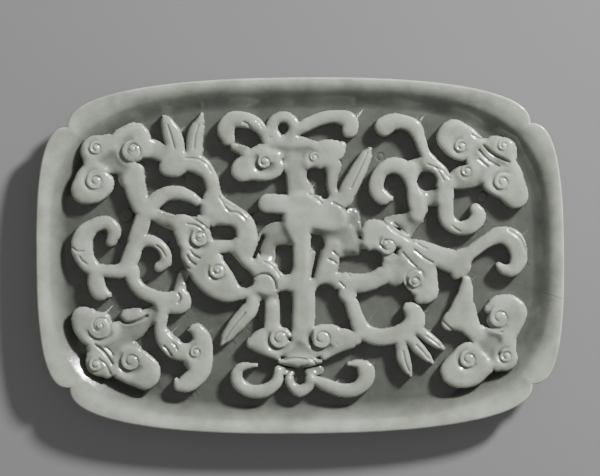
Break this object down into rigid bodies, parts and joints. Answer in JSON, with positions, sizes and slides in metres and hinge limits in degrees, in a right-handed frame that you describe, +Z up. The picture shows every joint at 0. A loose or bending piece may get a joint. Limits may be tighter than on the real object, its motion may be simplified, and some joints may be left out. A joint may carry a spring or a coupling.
{
  "type": "carved stone tray",
  "caption": "Shallow stone tray with a four-lobed outline, rounded rim and carved scrollwork on its floor, on a low foot ring.",
  "frame": {"origin": "centre of the underside, in the plane that the foot ring stands on", "axes": "+X along the tray's length, +Y across the tray, +Z up out of the open face"},
  "size_m": [0.2, 0.135, 0.012],
  "materials": {
    "jade": "soft polish"
  },
  "bodies": {
    "root": {"tray": "jade"}
  },
  "joints": []
}
